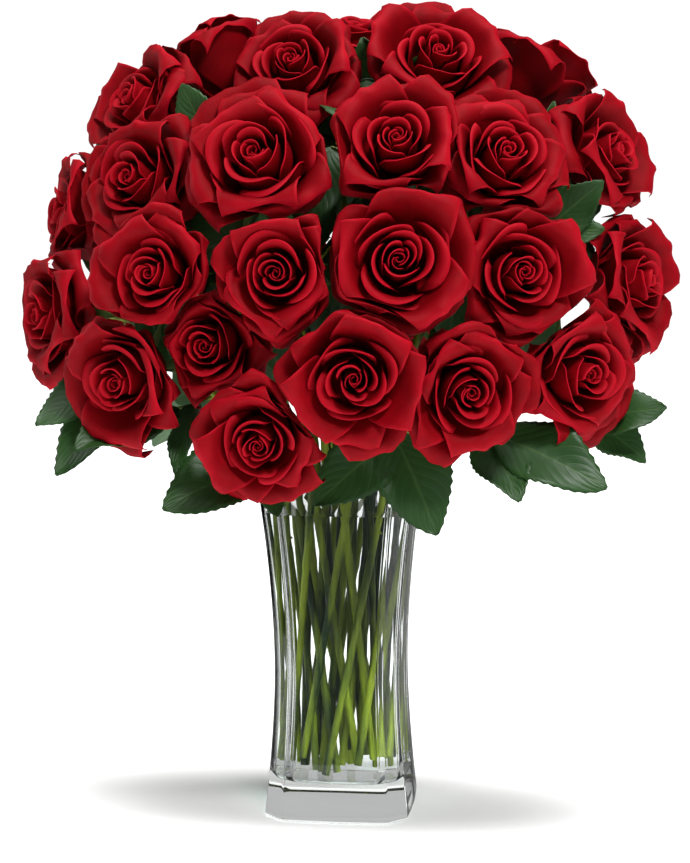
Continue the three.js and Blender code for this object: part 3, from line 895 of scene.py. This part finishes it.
def make_leaves():
    for k, (name, stem, over, base, tip, wide, face, side) in enumerate(LEAVES):
        over, base, tip, face = turned(over), turned(base), turned(tip), unit(turned(face))
        line = STEM_LINES[stem]
        gaps = np.linalg.norm(line[:, None, :] - node_points(name)[None, :, :], axis=2)
        start = line[np.unravel_index(np.argmin(gaps), gaps.shape)[0]]
        rng = random.Random(900 + k)
        stalk = bezier(start, over, base, STALK_POINTS)
        parts = [rod(name, stalk, np.linspace(1.3, 0.8, STALK_POINTS), 8, STEM)]
        parts.append(leaf_blade(base, tip, face, wide, rng))
        for share, side_tip, side_wide in side:
            at = stalk[int(round(share * (STALK_POINTS - 1)))]
            parts.append(leaf_blade(at, turned(side_tip), face, side_wide, rng))
        finish_piece(join(parts, name), name)


# The stems' upper leaves fill three layers of the bouquet: count, middle and reach of each
NEXT_LEAF = 2.39996  # radians from one leaf of a layer to the next
SHELL = (52, np.array([0.0, 22.0, 408.0]), np.array([146.0, 88.0, 116.0]))
CORE = (46, np.array([0.0, 26.0, 424.0]), np.array([186.0, 26.0, 122.0]))
SIDE = (14, np.array([0.0, 26.0, 420.0]), np.array([30.0, 112.0, 112.0]))
SHELL_OPEN_BELOW = -0.72  # the shell has no leaves where the stems come up into it
INNER_STALK_POINTS = 6


def shell_spots(count, middle, reach):
    """Even places over an egg shape, each facing straight out of it."""
    spots = []
    for k in range(count):
        height = 1 - 2 * (k + 0.5) / count
        around = k * NEXT_LEAF
        flat = math.sqrt(1 - height * height)
        out = np.array([flat * math.cos(around), flat * math.sin(around), height])
        if height > SHELL_OPEN_BELOW:
            spots.append((middle + out * reach, out))
    return spots


def disc_spots(count, middle, reach, facing, rng):
    """Even places over an upright disc through the bouquet, all facing nearly the same way."""
    spots = []
    for k in range(count):
        far = math.sqrt((k + 0.5) / count)
        around = k * NEXT_LEAF
        a, b = far * math.cos(around), far * math.sin(around)
        depth = rng.uniform(-1, 1)
        out = np.array([a, depth, b] if facing[1] else [depth, a, b])
        lean = np.array([rng.uniform(-0.4, 0.4) for _ in range(3)])
        spots.append((middle + out * reach, unit(np.array(facing) + lean)))
    return spots


def make_inner_leaves():
    """The stems' own upper leaves, which fill the dark space between and behind the heads."""
    rng = random.Random(77)
    spots = shell_spots(*SHELL)
    spots += disc_spots(*CORE, (0, -1, 0), rng)
    spots += disc_spots(*SIDE, (1, 0, 0), rng)
    lines = [(rose, STEM_LINES[rose.name]) for rose in ROSES]
    for k, (spot, out) in enumerate(spots):
        at, face = turned(spot), unit(turned(out))
        way = [rng.uniform(-1, 1), rng.uniform(-1, 1), rng.uniform(-0.4, 0.4)]
        sweep = unit(np.cross(face, way))
        length = rng.uniform(62, 80)
        base = at - sweep * length / 2
        tip = at + sweep * length / 2
        rose, line = min(lines, key=lambda row: np.linalg.norm(row[1] - base, axis=1).min())
        start = line[np.argmin(np.linalg.norm(line - base, axis=1))]
        stalk = bezier(start, (start + base) / 2 + face * 3, base, INNER_STALK_POINTS)
        name = f"inner_leaf_{k + 1:03d}"
        parts = [rod(name, stalk, np.linspace(1.1, 0.8, INNER_STALK_POINTS), 8, STEM)]
        parts.append(leaf_blade(base, tip, face, rng.uniform(0.58, 0.7), rng, 7, 17))
        finish_piece(join(parts, name), rose.stem_node)


# ---- vase and water -----------------------------------------------------------------------------
VASE_HEIGHT = 250.0
VASE_FLOOR = 26.0
WAIST_HEIGHT, WAIST_HALF = 108.0, 45.5
FOOT_FLARE, RIM_FLARE = 7.0, 11.5
WALL_LOW, WALL_HIGH = 7.5, 5.0
CORNER_FROM = 0.76  # share of half a side where the cut corner starts
SIDE_SWELL = 1.6
WATER_LEVEL = 226.0
WATER_OVERLAP = 0.25  # the water reaches this far into the glass, so that no air lies between them


def outer_half(z):
    """Half the vase's width at a height."""
    if z < WAIST_HEIGHT:
        return WAIST_HALF + FOOT_FLARE * (1 - z / WAIST_HEIGHT) ** 1.7
    return WAIST_HALF + RIM_FLARE * ((z - WAIST_HEIGHT) / (VASE_HEIGHT - WAIST_HEIGHT)) ** 1.8


def inner_half(z):
    """Half the width of the hollow at a height."""
    t = min(max((z - VASE_FLOOR) / (VASE_HEIGHT - VASE_FLOOR), 0), 1)
    return outer_half(z) - mix(WALL_LOW, WALL_HIGH, t)


def square_start(half, z, name):
    """A filled ring drawn as a square with cut corners and slightly swollen sides."""
    bpy.ops.mesh.primitive_circle_add(vertices=48, radius=half, fill_type="NGON")
    obj = bpy.context.object
    obj.name = name
    ring = []
    for side in range(4):
        turn = side * math.pi / 2
        for s in np.linspace(-1, 1, 12):
            x, y = half + SIDE_SWELL * (1 - s * s), s * half * CORNER_FROM
            ring.append((x * math.cos(turn) - y * math.sin(turn),
                         x * math.sin(turn) + y * math.cos(turn), z))
    p = points_of(obj)
    order = np.argsort(np.arctan2(p[:, 1], p[:, 0]))
    goal = sorted(ring, key=lambda q: math.atan2(q[1], q[0]))
    for k, index in enumerate(order):
        p[index] = goal[k]
    set_points(obj, p * MM)
    return obj


def pull_levels(obj, levels):
    """Pulls the face of a solid through a list of (height, half width)."""
    only(obj)
    bpy.ops.object.mode_set(mode="EDIT")
    bpy.ops.mesh.select_all(action="SELECT")
    z0, half0 = levels[0]
    for z, half in levels[1:]:
        bpy.ops.mesh.extrude_region_move(TRANSFORM_OT_translate={"value": (0, 0, (z - z0) * MM)})
        ratio = half / half0
        bpy.ops.transform.resize(value=(ratio, ratio, 1), center_override=(0, 0, z * MM))
        z0, half0 = z, half
    bpy.ops.object.mode_set(mode="OBJECT")


def tidy_shell(obj, bevel=0.0):
    """Turns all faces outwards and rounds the edges that are sharper than the cut corners."""
    only(obj)
    bpy.ops.object.mode_set(mode="EDIT")
    bpy.ops.mesh.select_all(action="SELECT")
    bpy.ops.mesh.normals_make_consistent(inside=False)
    bpy.ops.object.mode_set(mode="OBJECT")
    if bevel:
        modifier(obj, "BEVEL", width=bevel * MM, segments=3, limit_method="ANGLE",
                 angle_limit=math.radians(24))
    only(obj)
    bpy.ops.object.shade_smooth_by_angle(angle=math.radians(35))


def make_vase():
    low = inner_half(31)
    levels = [(0.0, outer_half(0) - 2.5), (2.5, outer_half(3))]
    levels += [(z, outer_half(z)) for z in np.linspace(8, 247, 34)]
    levels += [(VASE_HEIGHT, outer_half(VASE_HEIGHT) - 0.8)]
    levels += [(VASE_HEIGHT, inner_half(VASE_HEIGHT) + 0.8)]
    levels += [(z, inner_half(z)) for z in np.linspace(247, 36, 30)]
    levels += [(30.5, low - 1.2), (27.2, low - 3.6), (VASE_FLOOR, low - 8)]
    vase = square_start(levels[0][1], 0.0, "vase")
    pull_levels(vase, levels)
    vase.data.materials.append(GLASS)
    tidy_shell(vase, bevel=1.1)
    finish_piece(vase, "vase")


def make_water():
    low, foot = inner_half(31), VASE_FLOOR - 0.2
    levels = [(foot, low - 7.8), (27.0, low - 3.5), (30.3, low - 1.0)]
    levels += [(z, inner_half(z) + WATER_OVERLAP) for z in np.linspace(36, WATER_LEVEL - 1.5, 28)]
    levels += [(WATER_LEVEL, inner_half(WATER_LEVEL) + WATER_OVERLAP)]
    water = square_start(levels[0][1], foot, "water")
    pull_levels(water, levels)
    water.data.materials.append(WATER)
    tidy_shell(water)
    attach(water, "root")


# ---- setting ------------------------------------------------------------------------------------
BOUQUET_MIDDLE = (0, 0, 0.38)
# name, place, what it is aimed at, size, power
LAMPS = (
    ("key", (0.7, -1.05, 1.8), BOUQUET_MIDDLE, (0.38, 0.38), 29),
    ("top", (0.0, 0.1, 2.6), (0, 0, 0), (1.7, 1.7), 46),
    ("rim_left", (-1.5, 0.5, 0.9), BOUQUET_MIDDLE, (0.6, 0.9), 5),
)
# Dark cards out of view, which draw the edges of the glass and keep the floor out of its reflections
FLAGS = (
    ("flag_left", ((-370, 0, 20), (-370, 200, 20), (-370, 0, 360), (-370, 200, 360))),
    ("flag_right", ((370, 0, 20), (370, 200, 20), (370, 0, 360), (370, 200, 360))),
    ("flag_front", ((-900, -1600, 2), (900, -1600, 2), (-900, -190, 2), (900, -190, 2))),
)
FLOOR_PALE, FLOOR_MIRRORED = (0.86, 0.86, 0.86, 1), (0.22, 0.22, 0.22, 1)
PAINTED_SHADE_SPOT = (0.8, 2.3, 1.0)  # how the painted shadow round the foot, where the floor's painted glow is off, is squeezed along x and y
GLOW_FROM, GLOW_TO = 0.06, 0.29  # between these distances the floor's painted glow rises from none to full
SKY_SEEN, SKY_LIGHT = 1.05, 0.16
SKY_MIRRORED_CUT = 0.75  # share of the sky's light that reflections don't get
INSIDE_CUT = 0.55  # share of floor and sky that light mirrored inside the glass doesn't get


def area_light(name, at, towards, size, power):
    data = bpy.data.lights.new(name, "AREA")
    data.shape = "RECTANGLE"
    data.size, data.size_y = size
    data.energy = power
    light = bpy.data.objects.new(name, data)
    light.location = at
    aim = Vector(towards) - Vector(at)
    light.rotation_euler = aim.to_track_quat("-Z", "Y").to_euler()
    bpy.context.scene.collection.objects.link(light)


def make_flag(name, corners):
    bpy.ops.mesh.primitive_plane_add(size=1.0)
    flag = bpy.context.object
    flag.name = name
    set_points(flag, np.array([turned(corner) for corner in corners]) * MM)
    m, tree, shader = material(name)
    settle(shader, {"Base Color": (0.03, 0.03, 0.035, 1), "Roughness": 0.9})
    flag.data.materials.append(m)
    flag.visible_camera = False
    flag.visible_shadow = False
    flag.visible_diffuse = False


def inside_cut(tree, path):
    """How much a ray that was mirrored on its way through the glass misses of floor and sky."""
    bounced = math_node(tree, "MINIMUM", path.outputs["Glossy Depth"], 1.0)
    return math_node(tree, "MULTIPLY", bounced, INSIDE_CUT)


def make_floor():
    """A pale floor that glows with painted light away from the foot; round the foot it is lit by the lamps
    alone, which leaves a painted shadow there.
    """
    bpy.ops.mesh.primitive_plane_add(size=8.0, location=(0, 0, -0.0004))
    floor = bpy.context.object
    floor.name = "floor"
    m, tree, shader = material("pale floor")
    settle(shader, {
        "Base Color": FLOOR_PALE, "Roughness": 0.85, "Specular IOR Level": 0.2,
        "Emission Color": (1, 1, 1, 1),
    })
    place = tree.nodes.new("ShaderNodeTexCoord")
    squeeze = tree.nodes.new("ShaderNodeMapping")
    squeeze.inputs["Scale"].default_value = PAINTED_SHADE_SPOT
    tree.links.new(place.outputs["Object"], squeeze.inputs["Vector"])
    far = tree.nodes.new("ShaderNodeVectorMath")
    far.operation = "LENGTH"
    tree.links.new(squeeze.outputs[0], far.inputs[0])
    # Painted light: the floor glows more the further it lies from the foot, so the unglowing spot round
    # the foot reads as a shadow.
    glow = tree.nodes.new("ShaderNodeMapRange")
    glow.interpolation_type = "SMOOTHERSTEP"
    settle(glow, {"From Min": GLOW_FROM, "From Max": GLOW_TO, "To Min": 0.0, "To Max": 1.0})
    tree.links.new(far.outputs["Value"], glow.inputs["Value"])
    tree.links.new(glow.outputs[0], shader.inputs["Emission Strength"])
    # Painted reflection: reflections and light mirrored inside the glass see the floor as dark grey, not
    # as its pale self.
    dim = tree.nodes.new("ShaderNodeBsdfDiffuse")
    dim.inputs["Color"].default_value = FLOOR_MIRRORED
    path = tree.nodes.new("ShaderNodeLightPath")
    mirrored = math_node(tree, "SUBTRACT", path.outputs["Is Glossy Ray"],
                         path.outputs["Is Transmission Ray"], clamp=True)
    mirrored = math_node(tree, "MAXIMUM", mirrored, inside_cut(tree, path))
    pick_shader(tree, mirrored, shader, dim, "Material Output")
    floor.data.materials.append(m)


def make_sky():
    """White all round; what is seen straight or through the glass is brighter than what lights it."""
    world = bpy.data.worlds.new("studio")
    bpy.context.scene.world = world
    world.use_nodes = True
    tree = world.node_tree
    soft = tree.nodes["Background"]
    soft.inputs["Color"].default_value = (1, 1, 1, 1)
    seen = tree.nodes.new("ShaderNodeBackground")
    settle(seen, {"Color": (1, 1, 1, 1), "Strength": SKY_SEEN})
    path = tree.nodes.new("ShaderNodeLightPath")
    straight = math_node(tree, "MAXIMUM", path.outputs["Is Camera Ray"],
                         path.outputs["Is Transmission Ray"])
    straight = math_node(tree, "SUBTRACT", straight, inside_cut(tree, path), clamp=True)
    cut = math_node(tree, "MULTIPLY", path.outputs["Is Glossy Ray"], SKY_MIRRORED_CUT)
    light = math_node(tree, "MULTIPLY", math_node(tree, "SUBTRACT", 1.0, cut), SKY_LIGHT)
    tree.links.new(light, soft.inputs["Strength"])
    pick_shader(tree, straight, soft, seen, "World Output")


def make_setting():
    make_floor()
    make_sky()
    for lamp in LAMPS:
        area_light(*lamp)
    for name, corners in FLAGS:
        make_flag(name, corners)


CAMERA_AT = (2.0, -1700.0, 530.0)
CAMERA_DOWN = math.radians(8.39)
CAMERA_LENS = 98.5


def make_camera():
    data = bpy.data.cameras.new("camera")
    camera = bpy.data.objects.new("camera", data)
    bpy.context.scene.collection.objects.link(camera)
    data.sensor_width = 36.0
    data.lens = CAMERA_LENS
    camera.location = turned(CAMERA_AT) * MM
    look = turned((0.0, math.cos(CAMERA_DOWN), -math.sin(CAMERA_DOWN)))
    camera.rotation_euler = Vector(look).to_track_quat("-Z", "Y").to_euler()
    bpy.context.scene.camera = camera
    bpy.context.scene.view_settings.view_transform = "Standard"


deselect()
make_setting()
make_camera()
make_vase()
make_water()
make_roses()
make_stems()
make_leaves()
make_inner_leaves()
